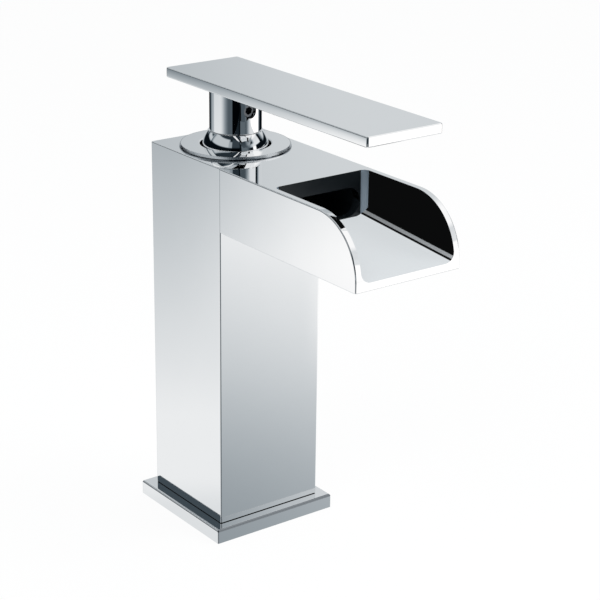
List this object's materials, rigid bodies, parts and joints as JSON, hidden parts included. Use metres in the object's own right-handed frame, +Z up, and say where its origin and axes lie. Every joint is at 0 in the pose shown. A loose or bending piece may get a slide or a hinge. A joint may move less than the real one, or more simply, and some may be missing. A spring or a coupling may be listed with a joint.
{
  "type": "waterfall basin faucet",
  "caption": "Square-column basin faucet with an open curved waterfall trough and a flat level lever on a ball joint.",
  "frame": {"origin": "centre of the fixing stud's hole at the mounting face, on the axis of the column", "axes": "+Z up along the column and the handle's turning axis, -Y towards the spout's lip, +X to the right seen from the front"},
  "size_m": [0.05, 0.1188, 0.1612],
  "materials": {
    "polished_chrome": "mirror polished chrome plate",
    "raw_brass": "machined brass",
    "copper_tube": "drawn copper tube",
    "black_rubber": "moulded rubber",
    "plain_steel": "turned steel",
    "white_ceramic": "lapped alumina ceramic",
    "cartridge_plastic": "moulded glass-filled plastic"
  },
  "bodies": {
    "body": {"base_plate": "polished_chrome", "base_seal": "black_rubber", "base_screws": "plain_steel", "inlet_block": "raw_brass", "hot_riser": "copper_tube", "cold_riser": "copper_tube", "riser_seals": "black_rubber", "column_shell": "polished_chrome", "valve_body": "raw_brass", "gallery_plugs": "raw_brass", "spout_block": "polished_chrome", "spout_screws": "plain_steel", "outlet_nipples": "raw_brass", "outlet_seals": "black_rubber", "cartridge_base": "cartridge_plastic", "port_seals": "black_rubber", "fixed_disc": "white_ceramic", "cartridge_housing": "cartridge_plastic", "cartridge_nut": "raw_brass", "cover_disc": "polished_chrome"},
    "rotor": {"stem_guide": "cartridge_plastic", "pivot_pin": "plain_steel"},
    "handle": {"stem": "plain_steel", "ball_dome": "polished_chrome", "handle_hub": "polished_chrome", "grub_screw": "plain_steel", "lever_plate": "polished_chrome"},
    "slider": {"disc_carrier": "cartridge_plastic", "moving_disc": "white_ceramic"}
  },
  "joints": [
    {"name": "temperature_turn", "type": "hinge", "parent": "body", "child": "rotor", "pos_m": [0, 0, 0.1347], "axis": [0, 0, 1], "range_deg": [-45, 45]},
    {"name": "lever_lift", "type": "hinge", "parent": "rotor", "child": "handle", "pos_m": [0, 0, 0.1347], "axis": [-1, 0, 0], "range_deg": [0, 22]},
    {"name": "disc_slide", "type": "slide", "parent": "rotor", "child": "slider", "axis": [0, -1, 0], "range_m": [0, 0.0057]}
  ],
  "couplings": [
    {"joint": "disc_slide", "follows": "lever_lift", "m_per_rad": 0.01483}
  ]
}
